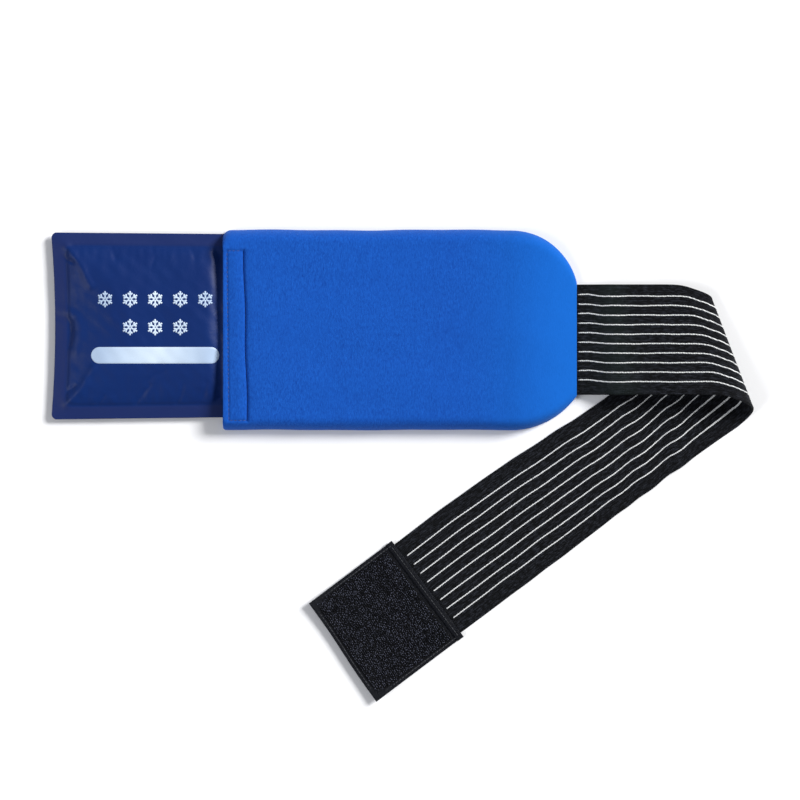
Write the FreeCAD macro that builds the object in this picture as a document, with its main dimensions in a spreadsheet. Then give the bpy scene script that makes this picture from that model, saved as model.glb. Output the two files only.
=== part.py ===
import FreeCAD, Part
import math
import os
import re

import Sketcher

# Cold compression wrap: a plush sleeve, the gel pack pushed part way into it, and its elastic strap.
#
# The sleeve lies on its back. The origin is the centre of its back face, +Z is up and -X is the open mouth.
# The strap leaves the +X end, folds under itself along a slanted crease and comes back to its hook patch.

os.makedirs("parts", exist_ok=True)
doc = FreeCAD.newDocument("cold_compression_wrap")
V = FreeCAD.Vector

# Driving dimensions, in millimetres and degrees.
SIZES = {
    # sleeve: plush outside, foam-backed lining inside, open at the mouth
    "sleeve_length": 240.0,
    "sleeve_width": 136.0,
    "plush_thickness": 1.0,
    "lining_thickness": 0.8,
    "layer_gap": 0.05,
    "upper_shoulder_length": 45.0,
    "lower_shoulder_length": 44.0,
    "end_margin": 0.3,
    # hook and loop strips inside the mouth, and the box of stitching that holds them
    "closure_width": 13.0,
    "closure_length": 115.0,
    "closure_thickness": 0.8,
    "closure_inset": 3.0,
    "closure_offset": -4.0,
    "thread_width": 0.9,
    "thread_height": 0.25,
    # gel pack: two films sealed round a rim, filled with gel
    "pack_length": 190.0,
    "pack_width": 127.0,
    "pack_height": 10.5,
    "pack_corner": 4.0,
    "rim_width": 9.0,
    "film_thickness": 0.3,
    "pack_exposed": 117.0,
    "pack_offset": 2.0,
    "pack_clearance": 0.3,
    "print_thickness": 0.12,
    # elastic strap and the crease that it folds along
    "strap_width": 75.0,
    "strap_thickness": 1.3,
    "strap_offset": -6.6,
    "anchor_length": 14.0,
    "crease_reach": 95.5,
    "crease_angle": 18.9,
    "fold_radius_tight": 4.0,
    "fold_radius_open": 11.0,
    "bend_gap": 0.3,
    "yarn_gap": 0.1,
    "yarn_width": 0.9,
    "yarn_height": 0.15,
    # hook patch at the free end
    "patch_x": 18.6,
    "patch_drop": 108.0,
    "patch_angle": 36.9,
    "patch_length": 72.0,
    "patch_width": 81.0,
    "patch_margin": 0.6,
    "patch_thickness": 0.6,
    "hook_height": 1.4,
    "border_width": 5.0,
    "hem_width": 4.0,
    "sleeve_clearance": 7.0,
}
FACE_YARNS = 10
REVERSE_YARNS = 8

sheet = doc.addObject("Spreadsheet::Sheet", "Sizes")
for row, (alias, value) in enumerate(SIZES.items(), start=1):
    sheet.set(f"A{row}", alias.replace("_", " "))
    sheet.set(f"B{row}", str(value))
    sheet.setAlias(f"B{row}", alias)
doc.recompute()


def size(alias):
    """The value of a driving dimension, read from the sheet."""
    return float(sheet.get(alias))


subparts = []


def sub_part(shape, name):
    """A sub-part whose shape is worked out here from the sheet's values."""
    piece = doc.addObject("Part::Feature", name)
    piece.Label = name
    piece.Shape = shape
    piece.Placement = FreeCAD.Placement()
    subparts.append(piece)
    return piece


def origin_plane(body, role):
    """The origin plane of a body that plays the given role."""
    return next(f for f in body.Origin.OriginFeatures if f.Role == role)


def bound(text):
    """An expression with every alias pointing at the sheet."""
    return re.sub(r"[a-z]+(_[a-z]+)+", lambda word: "Sizes." + word.group(0), text)


def flat_piece(name, base, thickness, corners, arcs=()):
    """A flat sub-part: a sketched outline, padded upwards from the height base.

    Each corner is a pair of expressions. arcs maps the number of a side to the expression of its radius.
    """
    body = doc.addObject("PartDesign::Body", name)
    body.Label = name
    sketch = body.newObject("Sketcher::SketchObject", name + "_outline")
    sketch.AttachmentSupport = [(origin_plane(body, "XY_Plane"), "")]
    sketch.MapMode = "FlatFace"
    arcs = dict(arcs)
    places = [V(*[float(sheet.evalExpression(text)) for text in pair]) for pair in corners]
    for side, start in enumerate(places):
        end = places[(side + 1) % len(places)]
        if side not in arcs:
            sketch.addGeometry(Part.LineSegment(start, end), False)
            continue
        radius = float(sheet.evalExpression(arcs[side]))
        chord = end - start
        sagitta = radius - math.sqrt(radius**2 - chord.Length**2 / 4)
        outward = V(chord.y, -chord.x).normalize()
        middle = (start + end) / 2 + outward * sagitta
        sketch.addGeometry(Part.Arc(start, middle, end), False)
    for side, corner in enumerate(corners):
        after = (side + 1) % len(places)
        sketch.addConstraint(Sketcher.Constraint("Coincident", side, 2, after, 1))
        for axis, kind in enumerate(("DistanceX", "DistanceY")):
            place = sketch.addConstraint(Sketcher.Constraint(kind, -1, 1, side, 1, places[side][axis]))
            sketch.setExpression(f"Constraints[{place}]", bound(corner[axis]))
        if side in arcs:
            radius = float(sheet.evalExpression(arcs[side]))
            place = sketch.addConstraint(Sketcher.Constraint("Radius", side, radius))
            sketch.setExpression(f"Constraints[{place}]", bound(arcs[side]))
    pad = body.newObject("PartDesign::Pad", name + "_pad")
    pad.Profile = sketch
    pad.setExpression("Length", bound(thickness))
    body.setExpression("Placement.Base.z", bound(base))
    doc.recompute()
    subparts.append(body)
    return body


def rectangle(left, right, low, high):
    """The four corners of a rectangle, anticlockwise, as expressions."""
    return [(left, low), (right, low), (right, high), (left, high)]


# The levels of the sleeve's layers, from the floor up.
LINING_BASE = "plush_thickness + layer_gap"
CAVITY_FLOOR = "plush_thickness + lining_thickness + 2 * layer_gap"
PACK_BASE = f"{CAVITY_FLOOR} + closure_thickness + pack_clearance"
CAVITY_TOP = f"{PACK_BASE} + pack_height + pack_clearance + closure_thickness + layer_gap"
PLY_DEPTH = "plush_thickness + lining_thickness + layer_gap"


def value(text):
    """The value of an expression in the sheet's aliases."""
    return float(sheet.evalExpression(text))


# --- Sleeve: two plies, each a plush face bonded to a foam-backed lining ---
MOUTH = "-sleeve_length / 2"
END = "sleeve_length / 2"
END_HIGH = "(strap_offset + strap_width / 2 + end_margin)"
END_LOW = "(strap_offset - strap_width / 2 - end_margin)"
UPPER_DROP = f"(sleeve_width / 2 - {END_HIGH})"
LOWER_DROP = f"(sleeve_width / 2 + {END_LOW})"
UPPER_RADIUS = f"(upper_shoulder_length ^ 2 + {UPPER_DROP} ^ 2) / 2 / {UPPER_DROP}"
LOWER_RADIUS = f"(lower_shoulder_length ^ 2 + {LOWER_DROP} ^ 2) / 2 / {LOWER_DROP}"
SLEEVE_OUTLINE = [
    (MOUTH, "-sleeve_width / 2"),
    (f"{END} - lower_shoulder_length", "-sleeve_width / 2"),
    (END, END_LOW),
    (END, END_HIGH),
    (f"{END} - upper_shoulder_length", "sleeve_width / 2"),
    (MOUTH, "sleeve_width / 2"),
]
SHOULDERS = {1: LOWER_RADIUS, 3: UPPER_RADIUS}
flat_piece("back_plush", "0 * plush_thickness", "plush_thickness", SLEEVE_OUTLINE, SHOULDERS)
flat_piece("back_lining", LINING_BASE, "lining_thickness", SLEEVE_OUTLINE, SHOULDERS)


def shoulder(x, half_width, start, radius):
    """How far a long edge of the sleeve stands from the middle line at x."""
    if x <= start:
        return half_width
    return half_width - radius + math.sqrt(radius**2 - (x - start) ** 2)


def sleeve_edges(x):
    """The lower and upper edge of the sleeve at x."""
    half_width = size("sleeve_width") / 2
    end = size("sleeve_length") / 2
    high = shoulder(x, half_width, end - size("upper_shoulder_length"), value(UPPER_RADIUS))
    low = shoulder(x, half_width, end - size("lower_shoulder_length"), value(LOWER_RADIUS))
    return -low, high


ARCH_POWER = 4


def arch_section(x, outer_depth, inner_depth):
    """The closed section of one layer of the front ply at x, between two depths below its outer face."""
    low, high = sleeve_edges(x)
    full_rise = value(CAVITY_TOP) + value(PLY_DEPTH)
    end = size("sleeve_length") / 2
    strap_top = value(CAVITY_FLOOR) + size("strap_thickness") + size("layer_gap")
    end_rise = strap_top + value(PLY_DEPTH) + ARCH_END_RISE
    taper = max(0.0, (x - end + ARCH_TAPER) / ARCH_TAPER)
    top = full_rise + (end_rise - full_rise) * taper**2
    foot = value(CAVITY_FLOOR)
    foot += (strap_top - foot) * max(0.0, (x - end + FOOT_RAMP) / FOOT_RAMP)

    def curve(depth):
        left, right = low + depth, high - depth
        points = []
        for step in range(ARCH_STEPS + 1):
            across = -math.cos(math.pi * step / ARCH_STEPS)
            y = (left + right) / 2 + across * (right - left) / 2
            z = foot + (top - depth - foot) * math.sqrt(max(0.0, 1 - abs(across) ** ARCH_POWER))
            points.append(V(x, y, z))
        return points

    outline = curve(outer_depth) + curve(inner_depth)[::-1]
    return Part.makePolygon(outline + outline[:1])


ARCH_STEPS = 20
ARCH_TAPER = 44.0
ARCH_END_RISE = 0.6
FOOT_RAMP = 9.0
TAPER_STATIONS = (1.0, 0.8, 0.6, 0.42, 0.27, 0.15, 0.06, 0.0)


def front_layer(outer_depth, inner_depth):
    """One layer of the domed front ply, from the mouth to the strap end."""
    end = size("sleeve_length") / 2
    stations = [-end] + [end - ARCH_TAPER * share for share in TAPER_STATIONS]
    sections = [arch_section(x, outer_depth, inner_depth) for x in stations]
    return Part.makeLoft(sections, True, True)


plush_depth = size("plush_thickness")
lining_top = plush_depth + size("layer_gap")
lining_depth = lining_top + size("lining_thickness")
sub_part(front_layer(0, plush_depth), "front_plush")
sub_part(front_layer(lining_top, lining_depth), "front_lining")

# --- Mouth closure: loop strip on the back lining, hook strip under the front lining ---
STRIP_LEFT = f"{MOUTH} + closure_inset"
STRIP_LOW = "closure_offset - closure_length / 2"
STRIP_HIGH = "closure_offset + closure_length / 2"
STRIP = rectangle(STRIP_LEFT, f"{STRIP_LEFT} + closure_width", STRIP_LOW, STRIP_HIGH)
flat_piece("mouth_loop_strip", CAVITY_FLOOR, "closure_thickness", STRIP)


TALL = 60.0


def over_rectangle(left, right, low, high):
    """A tall block over a rectangle, for cutting a patch out of a curved layer."""
    return Part.makeBox(right - left, high - low, TALL, V(left, low, value(CAVITY_FLOOR)))


strip_box = [value(text) for text in (STRIP_LEFT, f"{STRIP_LEFT} + closure_width", STRIP_LOW, STRIP_HIGH)]
hook_top = lining_depth + size("layer_gap")
hook_layer = front_layer(hook_top, hook_top + size("closure_thickness"))
sub_part(hook_layer.common(over_rectangle(*strip_box)), "mouth_hook_strip")

# the box of stitching lies on the front plush, over the edges of the strips
thread_layer = front_layer(-size("layer_gap") - size("thread_height"), -size("layer_gap"))
width = size("thread_width")
left, right, low, high = strip_box
thread_frame = over_rectangle(left, right, low, high).cut(
    over_rectangle(left + width, right - width, low + width, high - width)
)
sub_part(thread_layer.common(thread_frame), "mouth_stitching")

# --- Strap anchor: the strap's tail, sewn between the plies across the whole end edge ---
STRAP_LOW = "strap_offset - strap_width / 2"
STRAP_HIGH = "strap_offset + strap_width / 2"
ANCHOR_END = f"{END} + bend_gap"
ANCHOR = rectangle(f"{END} - anchor_length", ANCHOR_END, STRAP_LOW, STRAP_HIGH)
flat_piece("strap_anchor", CAVITY_FLOOR, "strap_thickness", ANCHOR)

anchor_rows = []
strap_top = value(CAVITY_FLOOR) + size("strap_thickness")
for row_place in (0.3, 0.55):
    x = size("sleeve_length") / 2 - size("anchor_length") * (1 - row_place)
    start = V(x, value(STRAP_LOW) + 2, strap_top + size("layer_gap"))
    anchor_rows.append(Part.makeBox(width, size("strap_width") - 4, size("thread_height"), start))
sub_part(Part.makeCompound(anchor_rows), "anchor_stitching")

# --- Gel pack: films sealed round the rim, a domed front and a flat back ---
PACK_LEFT = f"{MOUTH} - pack_exposed"
PACK_RIGHT = f"{PACK_LEFT} + pack_length"
PACK_LOW = "pack_offset - pack_width / 2"
PACK_HIGH = "pack_offset + pack_width / 2"
PACK = rectangle(PACK_LEFT, PACK_RIGHT, PACK_LOW, PACK_HIGH)
back_film = flat_piece("pack_back_film", PACK_BASE, "film_thickness", PACK)
film_pad = back_film.Tip
upright = [
    f"Edge{number}"
    for number, edge in enumerate(film_pad.Shape.Edges, start=1)
    if abs(edge.tangentAt(edge.FirstParameter).z) > 0.9
]
film_corners = back_film.newObject("PartDesign::Fillet", "pack_back_film_corners")
film_corners.Base = (film_pad, upright)
film_corners.setExpression("Radius", "Sizes.pack_corner")
doc.recompute()
back_film.Tip = film_corners


def rounded_outline(inset, z, radius):
    """A rounded rectangle, inset from the pack's edge all round."""
    left, right = value(PACK_LEFT) + inset, value(PACK_RIGHT) - inset
    low, high = value(PACK_LOW) + inset, value(PACK_HIGH) - inset
    centres = [(right - radius, high - radius), (left + radius, high - radius)]
    centres += [(left + radius, low + radius), (right - radius, low + radius)]
    edges = []
    for quarter, (x, y) in enumerate(centres):
        circle = Part.Circle(V(x, y, z), V(0, 0, 1), radius)
        start = math.pi / 2 * quarter
        edges.append(Part.Arc(circle, start, start + math.pi / 2).toShape())
    joined = []
    for edge, after in zip(edges, edges[1:] + edges[:1]):
        joined.append(edge)
        joined.append(Part.makeLine(edge.Vertexes[-1].Point, after.Vertexes[0].Point))
    return Part.Wire(joined)


# how the dome rises from the rim: the distance in from the rim as a share of the half width, and the height
DOME = ((0.0, 0.0), (0.1, 0.3), (0.22, 0.55), (0.38, 0.77), (0.56, 0.92), (0.74, 1.0))


PILLOW_CORNER = 5.0


def pillow(base, rise, inset):
    """The domed body of the pack, its foot inset from the rim's inner edge and its height in rise."""
    reach = size("pack_width") / 2 - size("rim_width")
    wires = []
    for across, up in DOME:
        inward = size("rim_width") + inset + across * (reach - inset)
        radius = PILLOW_CORNER + across * reach * 0.2
        wires.append(rounded_outline(inward, base + up * rise, radius))
    return Part.makeLoft(wires, True, True)


film = size("film_thickness")
flange_base = value(PACK_BASE) + film
rise = size("pack_height") - film
flange = Part.Face(rounded_outline(0, flange_base, size("pack_corner"))).extrude(V(0, 0, film))
outer_dome = pillow(flange_base, rise, 0)
inner_dome = pillow(flange_base, rise - film, film * 2)
sub_part(flange.fuse(outer_dome).cut(inner_dome).removeSplitter(), "pack_front_film")
gel_base = flange_base + size("layer_gap")
sub_part(pillow(gel_base, rise - film - 3 * size("layer_gap"), film * 2 + 0.3), "gel_filling")

# the printed panel: a lozenge and two rows of plain round marks, a skin of ink on the dome
skin_low = size("layer_gap")
skin_high = skin_low + size("print_thickness")
ink_top = pillow(flange_base, rise + skin_high, -skin_high)
ink_skin = ink_top.cut(pillow(flange_base, rise + skin_low, -skin_low))
PRINT_INSET = 46.0
LOZENGE_LENGTH = 87.0
LOZENGE_WIDTH = 11.0
LOZENGE_DROP = 19.3
MARK_RADIUS = 5.5
MARK_PITCH = 17.0
MARK_ROWS = ((5, 18.7), (3, -0.3))
print_x = value(MOUTH) - PRINT_INSET
print_y = size("pack_offset")
print_floor = gel_base + 1
lozenge_y = print_y - LOZENGE_DROP
straight = LOZENGE_LENGTH - LOZENGE_WIDTH
start = V(print_x - straight / 2, lozenge_y - LOZENGE_WIDTH / 2, print_floor)
lozenge = Part.makeBox(straight, LOZENGE_WIDTH, TALL, start)
for side in (-1, 1):
    round_end = V(print_x + side * straight / 2, lozenge_y, print_floor)
    lozenge = lozenge.fuse(Part.makeCylinder(LOZENGE_WIDTH / 2, TALL, round_end))
prints = [ink_skin.common(lozenge)]
for count, rise_y in MARK_ROWS:
    for number in range(count):
        mark_x = print_x + (number - (count - 1) / 2) * MARK_PITCH
        mark = Part.makeCylinder(MARK_RADIUS, TALL, V(mark_x, print_y + rise_y, print_floor))
        prints.append(ink_skin.common(mark))
sub_part(Part.makeCompound([solid for found in prints for solid in found.Solids]), "pack_print")

# --- Elastic strap: the near section climbs to the crease, the far section comes back along the floor ---
half_strap = size("strap_thickness") / 2
crease = math.radians(size("crease_angle"))
ACROSS = V(math.cos(crease), math.sin(crease), 0)
ALONG = V(-math.sin(crease), math.cos(crease), 0)
UP = V(0, 0, 1)
root_x = size("sleeve_length") / 2 + 2 * size("bend_gap")
crease_x = size("sleeve_length") / 2 + size("crease_reach")


def fold_radius(share):
    """The bend's radius, from the tight upper edge (share 0) to the open lower edge (share 1)."""
    tight = size("fold_radius_tight")
    return tight + (size("fold_radius_open") - tight) * share


def crease_point(share):
    """The centre of the bend, from the strap's upper edge (share 0) to its lower edge (share 1)."""
    from_middle = (share - 0.5) * size("strap_width")
    x = crease_x + from_middle * math.tan(crease)
    return V(x, size("strap_offset") - from_middle, half_strap + fold_radius(share))


def fold_frame(share, turn):
    """The middle of the strap's thickness at an angle round the bend, and the outward direction there."""
    outward = ACROSS * math.sin(turn) + UP * math.cos(turn)
    drift = ALONG * (-math.tan(crease) * fold_radius(share) * turn)
    return crease_point(share) + outward * fold_radius(share) + drift, outward


def fold_section(turn, share_low=0.0, share_high=1.0, inner=-half_strap, outer=half_strap):
    """A thin section across the bend at an angle, between two shares of the width and two depths."""
    corners = []
    for share, depth in ((share_low, inner), (share_high, inner), (share_high, outer), (share_low, outer)):
        middle, outward = fold_frame(share, turn)
        corners.append(middle + outward * depth)
    return Part.makePolygon(corners + corners[:1])


def root_section(share_low=0.0, share_high=1.0, inner=-half_strap, outer=half_strap):
    """The same section where the near part leaves the sleeve's end seam."""
    middle = value(CAVITY_FLOOR) + half_strap
    high = value(STRAP_HIGH)
    corners = []
    for share, depth in ((share_low, inner), (share_high, inner), (share_high, outer), (share_low, outer)):
        corners.append(V(root_x, high - share * size("strap_width"), middle + depth))
    return Part.makePolygon(corners + corners[:1])


sub_part(Part.makeLoft([root_section(), fold_section(0.0)], True, True), "strap_near_band")


def yarn_shares(count, number):
    """The two shares of the width that the numbered yarn lies between."""
    half = size("yarn_width") / 2 / size("strap_width")
    middle = (number + 1) / (count + 1)
    return middle - half, middle + half


def near_yarns(count, inner, outer, name):
    """Yarns knitted along one face of the near band."""
    yarns = []
    for number in range(count):
        shares = yarn_shares(count, number)
        sections = [root_section(*shares, inner, outer), fold_section(0.0, *shares, inner, outer)]
        yarns.append(Part.makeLoft(sections, True, True))
    sub_part(Part.makeCompound(yarns), name)


yarn_low = half_strap + size("yarn_gap")
yarn_high = yarn_low + size("yarn_height")
near_yarns(FACE_YARNS, yarn_low, yarn_high, "near_face_yarns")
near_yarns(REVERSE_YARNS, -yarn_high, -yarn_low, "near_reverse_yarns")

FOLD_STEPS = 6
for name, first_turn in (("fold_upper_quarter", 0.0), ("fold_lower_quarter", math.pi / 2)):
    turns = [first_turn + math.pi / 2 * step / FOLD_STEPS for step in range(FOLD_STEPS + 1)]
    sub_part(Part.makeLoft([fold_section(turn) for turn in turns], True, True), name)

# --- Far section: from under the fold to the hem of the hook patch, flat on the floor ---
patch_turn = math.radians(size("patch_angle"))
OUT = V(-math.cos(patch_turn), -math.sin(patch_turn), 0)
SIDE = V(math.sin(patch_turn), -math.cos(patch_turn), 0)
HEM_Y = "-sleeve_width / 2 - patch_drop"
hem_middle = V(size("patch_x"), value(HEM_Y), 0)
BOW_LOWER = 4.0
BOW_SHARES = (0.12, 0.25, 0.4, 0.6, 0.8)


def bow_shape(way):
    """How the far section's bow is spread along it: most near the fold, none at its ends. Its peak is 1."""
    return way * (1 - way) ** 3 / (0.25 * 0.75**3)


def far_chord(share):
    """The straight line between the ends of the far section, at a share of its width."""
    start = fold_frame(share, math.pi)[0]
    start.z = 0
    start += OUT * size("bend_gap")
    end = hem_middle + SIDE * ((share - 0.5) * size("strap_width")) - OUT * size("bend_gap") / 2
    chord = end - start
    return start, chord, V(-chord.y, chord.x, 0).normalize()


BOW_SAMPLES = 12


def bow_past_sleeve():
    """The bow that takes the strap's upper edge past the sleeve's lower shoulder with its clearance."""
    start, chord, sideways = far_chord(0.0)
    end = size("sleeve_length") / 2
    bows = []
    for step in range(BOW_SAMPLES + 1):
        x = end - size("lower_shoulder_length") * step / BOW_SAMPLES
        edge = V(x, sleeve_edges(x)[0], 0) - start
        way = edge.dot(chord) / chord.Length**2
        bows.append((edge.dot(sideways) + size("sleeve_clearance")) / bow_shape(way))
    return max(bows)


bow_upper = bow_past_sleeve()
print("bow past the sleeve", round(bow_upper, 2))


def far_point(share, way):
    """A point on the far section's underside: share across the strap, way from the fold to the hem."""
    start, chord, sideways = far_chord(share)
    bow = bow_upper + (BOW_LOWER - bow_upper) * share
    return start + chord * way + sideways * bow * bow_shape(way)


def far_strip(share_low, share_high, z, thickness, first=0.0, last=1.0):
    """A flat strip of the far section between two shares of its width."""
    ways = [first] + [way for way in BOW_SHARES if first < way < last] + [last]
    edges = []
    for share in (share_low, share_high):
        curve = Part.BSplineCurve()
        curve.interpolate([far_point(share, way) + UP * z for way in ways])
        edges.append(curve.toShape())
    start = Part.makeLine(edges[0].Vertexes[0].Point, edges[1].Vertexes[0].Point)
    end = Part.makeLine(edges[0].Vertexes[-1].Point, edges[1].Vertexes[-1].Point)
    outline = Part.Wire(Part.__sortEdges__([edges[0], end, edges[1], start]))
    return Part.Face(outline).extrude(UP * thickness)


sub_part(far_strip(0.0, 1.0, 0.0, size("strap_thickness")), "strap_far_band")
far_yarns = []
for number in range(REVERSE_YARNS):
    shares = yarn_shares(REVERSE_YARNS, number)
    base = size("strap_thickness") + size("yarn_gap")
    far_yarns.append(far_strip(*shares, base, size("yarn_height"), 0.01, 0.98))
sub_part(Part.makeCompound(far_yarns), "far_reverse_yarns")


# --- Hook patch: the strap's end, a backing, the field of hooks, its border thread and the folded hem ---
def patch_piece(name, base, thickness, inset_near, inset_far, width):
    """A rectangular layer of the patch, laid out from the hem line along the strap."""
    outline = rectangle(inset_near, f"patch_length - {inset_far}", f"-{width} / 2", f"{width} / 2")
    body = flat_piece(name, base, thickness, outline)
    body.setExpression("Placement.Base.x", "Sizes.patch_x")
    body.setExpression("Placement.Base.y", bound(HEM_Y))
    body.setExpression("Placement.Rotation.Angle", "Sizes.patch_angle + 180")
    doc.recompute()
    return body


BACKING_BASE = "strap_thickness + layer_gap"
FIELD_BASE = f"{BACKING_BASE} + patch_thickness + layer_gap"
FLOOR = "0 * patch_length"
patch_piece("strap_end_band", FLOOR, "strap_thickness", "patch_margin", "2 * layer_gap", "strap_width")
patch_piece("patch_backing", BACKING_BASE, "patch_thickness", "patch_margin", "0", "patch_width")
FIELD_NEAR = "(patch_margin + hem_width + border_width)"
FIELD_WIDTH = "(patch_width - 2 * border_width)"
patch_piece("hook_field", FIELD_BASE, "hook_height", FIELD_NEAR, "border_width", FIELD_WIDTH)
HEM_FAR = "(patch_length - patch_margin - hem_width)"
patch_piece("patch_hem", FIELD_BASE, "patch_thickness", "patch_margin", HEM_FAR, "patch_width")
BORDER_NEAR = f"({FIELD_NEAR} - 2 * thread_width)"
BORDER_SPAN = "(patch_width - 2 * thread_width)"
border = patch_piece("patch_stitching", FIELD_BASE, "thread_height", BORDER_NEAR, "thread_width", BORDER_SPAN)
window = border.newObject("Sketcher::SketchObject", "patch_stitching_window")
window.AttachmentSupport = [(origin_plane(border, "XY_Plane"), "")]
window.MapMode = "FlatFace"
WINDOW = rectangle(
    f"({FIELD_NEAR} - thread_width)", "(patch_length - 2 * thread_width)",
    "-(patch_width / 2 - 2 * thread_width)", "(patch_width / 2 - 2 * thread_width)",
)
corner_places = [V(value(x), value(y), 0) for x, y in WINDOW]
for side, start in enumerate(corner_places):
    window.addGeometry(Part.LineSegment(start, corner_places[(side + 1) % 4]), False)
for side, corner in enumerate(WINDOW):
    window.addConstraint(Sketcher.Constraint("Coincident", side, 2, (side + 1) % 4, 1))
    for axis, kind in enumerate(("DistanceX", "DistanceY")):
        place = window.addConstraint(Sketcher.Constraint(kind, -1, 1, side, 1, corner_places[side][axis]))
        window.setExpression(f"Constraints[{place}]", bound(corner[axis]))
whole = border.Shape.Volume
opening = border.newObject("PartDesign::Pocket", "patch_stitching_pocket")
opening.Profile = window
opening.Type = "ThroughAll"
opening.Midplane = True
doc.recompute()
border.Tip = opening
if border.Shape.Volume > whole / 2:
    raise RuntimeError("the border's window was not cut")

doc.recompute()
for item in doc.Objects:
    if "Invalid" in item.State or "Error" in item.State:
        raise RuntimeError(f"{item.Name} failed: {item.State}")
for piece in subparts:
    if piece.Shape.isNull() or not piece.Shape.isValid() or not piece.Shape.Solids:
        raise RuntimeError(f"{piece.Label} has no sound shape")
for piece in subparts:
    piece.Shape.exportStep(f"parts/{piece.Label}.step")
    print(piece.Label, len(piece.Shape.Solids), round(piece.Shape.Volume, 1))
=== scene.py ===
import math
import random

import bpy
import numpy as np
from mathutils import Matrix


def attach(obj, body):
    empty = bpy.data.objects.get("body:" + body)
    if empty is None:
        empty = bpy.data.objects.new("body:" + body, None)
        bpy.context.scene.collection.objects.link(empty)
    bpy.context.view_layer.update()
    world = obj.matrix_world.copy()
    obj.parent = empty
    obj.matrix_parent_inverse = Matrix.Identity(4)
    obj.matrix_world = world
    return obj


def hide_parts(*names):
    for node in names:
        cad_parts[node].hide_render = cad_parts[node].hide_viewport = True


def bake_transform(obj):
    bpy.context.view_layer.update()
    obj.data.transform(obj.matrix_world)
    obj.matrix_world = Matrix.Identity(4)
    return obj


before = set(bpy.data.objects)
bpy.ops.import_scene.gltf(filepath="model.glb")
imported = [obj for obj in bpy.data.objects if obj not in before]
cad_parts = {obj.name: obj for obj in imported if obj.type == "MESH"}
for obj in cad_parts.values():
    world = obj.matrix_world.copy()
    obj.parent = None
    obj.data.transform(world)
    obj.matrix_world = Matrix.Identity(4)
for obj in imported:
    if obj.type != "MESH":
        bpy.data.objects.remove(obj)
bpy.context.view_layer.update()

# --- Table, light and camera ---
# The wrap lies on a plain white table, lit softly from the upper right and faintly from the left, and is seen
# from straight above.
# Lengths in this script are in millimetres, and the functions that make objects turn them into metres.
MM = 0.001
CAMERA_HEIGHT = 4.0
VIEW_WIDTH = 0.544
VIEW_MIDDLE_Y = -0.0476


def into_scene(name, data, place=(0, 0, 0), turn=(0, 0, 0)):
    """Puts a new object in the scene and returns it."""
    made = bpy.data.objects.new(name, data)
    made.location = place
    made.rotation_euler = turn
    bpy.context.scene.collection.objects.link(made)
    return made


camera_data = bpy.data.cameras.new("camera")
camera_data.lens = camera_data.sensor_width * CAMERA_HEIGHT / VIEW_WIDTH
bpy.context.scene.camera = into_scene("camera", camera_data, (0, VIEW_MIDDLE_Y, CAMERA_HEIGHT))
bpy.context.scene.view_settings.view_transform = "Standard"


def linear(code):
    """An sRGB hex colour as the linear colour that nodes take."""
    shares = [int(code[place:place + 2], 16) / 255 for place in (1, 3, 5)]
    return (*[s / 12.92 if s <= 0.04045 else ((s + 0.055) / 1.055) ** 2.4 for s in shares], 1)


def add(tree, kind, numbered=(), tones=(), **named):
    """Adds one node. Numbered are sockets by number. Of the named, those with a capital are sockets and the
    rest are settings. A socket takes a value, a hex colour, an output, or a node (its first working output).
    Tones are a ramp's places and hex colours."""
    made = tree.nodes.new("ShaderNode" + kind)
    for name, value in named.items():
        if name[0].islower():
            setattr(made, name, value)
    for stop, (place, code) in zip(made.color_ramp.elements if tones else (), tones):
        stop.position, stop.color = place, linear(code)
    sockets = [(name.replace("_", " "), value) for name, value in named.items() if name[0].isupper()]
    for name, value in [*numbered, *sockets]:
        if isinstance(value, bpy.types.Node):
            value = next(output for output in value.outputs if output.enabled)
        if isinstance(value, bpy.types.NodeSocket):
            tree.links.new(value, made.inputs[name])
        else:
            made.inputs[name].default_value = linear(value) if isinstance(value, str) else value
    return made


def start_material(name):
    """An empty material and its node tree."""
    made = bpy.data.materials.new(name)
    made.use_nodes = True
    made.node_tree.nodes.clear()
    return made, made.node_tree


def finish_material(made, relief, strength, depth, **shading):
    """Ends a material with its relief, depth in metres, and the shader's other sockets."""
    tree = made.node_tree
    bump = add(tree, "Bump", Height=relief, Strength=strength, Distance=depth)
    shader = add(tree, "BsdfPrincipled", Normal=bump, **shading)
    add(tree, "OutputMaterial", Surface=shader)
    return made


def table_paper():
    """Matte white paper, with the faintest tooth."""
    made, tree = start_material("matte_white_paper")
    place = add(tree, "TexCoord").outputs["Object"]
    tooth = add(tree, "TexNoise", Vector=place, Scale=700.0)
    return finish_material(
        made, tooth, 0.05, 0.0002, Base_Color="#F8F8F9", Roughness=0.95, Specular_IOR_Level=0.1,
    )


TABLE_HALF = 12.0
TABLE_DROP = 0.0004
table_mesh = bpy.data.meshes.new("table")
corners = [(x * TABLE_HALF, y * TABLE_HALF, 0) for x, y in ((-1, -1), (1, -1), (1, 1), (-1, 1))]
table_mesh.from_pydata(corners, [], [(0, 1, 2, 3)])
table_mesh.materials.append(table_paper())
into_scene("table", table_mesh, (0, 0, -TABLE_DROP))

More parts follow.
